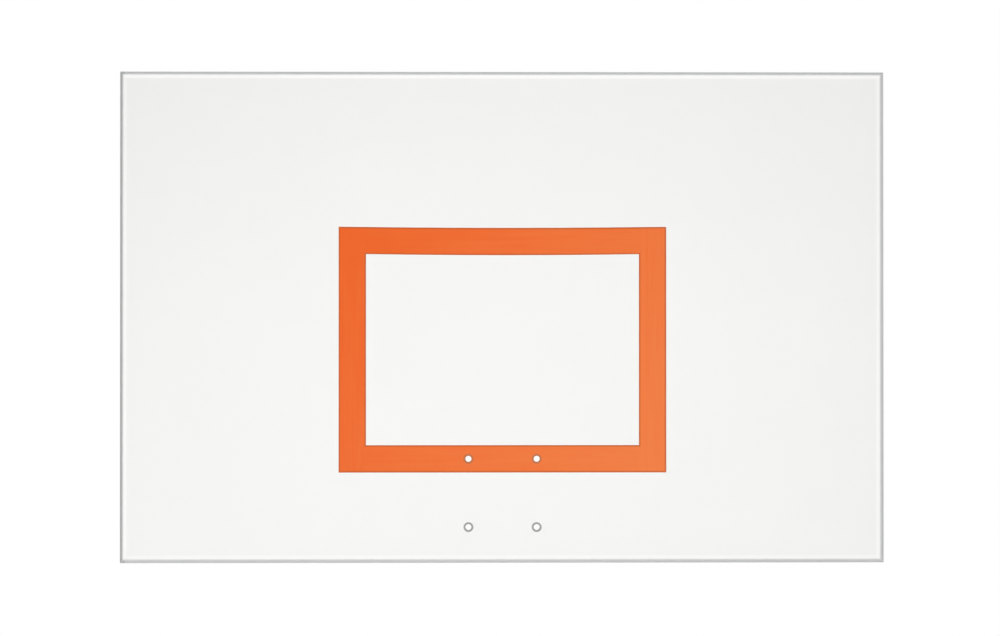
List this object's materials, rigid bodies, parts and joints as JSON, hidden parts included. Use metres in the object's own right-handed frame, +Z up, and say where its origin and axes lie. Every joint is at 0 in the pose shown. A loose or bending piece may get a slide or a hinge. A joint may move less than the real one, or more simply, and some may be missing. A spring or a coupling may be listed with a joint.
{
  "type": "basketball backboard",
  "caption": "Rectangular welded steel backboard: flanged white face with an orange target, goal bolt holes and a stiffened back with mount channels.",
  "frame": {"origin": "centre of the four goal bolt holes, on the front of the face", "axes": "+X to the right and +Z up as a player sees the board, +Y behind the board"},
  "size_m": [1.4224, 0.0383, 0.9144],
  "materials": {
    "face_coat": "white powder coat, satin",
    "frame_coat": "white powder coat, satin, thinner in the corners",
    "weld_coat": "white powder coat over rippled weld",
    "target_enamel": "orange enamel film, semi-matt"
  },
  "bodies": {
    "root": {"face_pan": "face_coat", "target_marking": "target_enamel", "left_mount_channel": "frame_coat", "right_mount_channel": "frame_coat", "goal_channel": "frame_coat", "middle_cross_stiffener": "frame_coat", "upper_cross_stiffener": "frame_coat", "left_wing_stiffener_1": "frame_coat", "left_wing_stiffener_2": "frame_coat", "right_wing_stiffener_1": "frame_coat", "right_wing_stiffener_2": "frame_coat", "corner_welds": "weld_coat", "left_channel_welds": "weld_coat", "right_channel_welds": "weld_coat", "goal_channel_welds": "weld_coat", "cross_stiffener_welds": "weld_coat", "left_wing_welds": "weld_coat", "right_wing_welds": "weld_coat"}
  },
  "joints": []
}
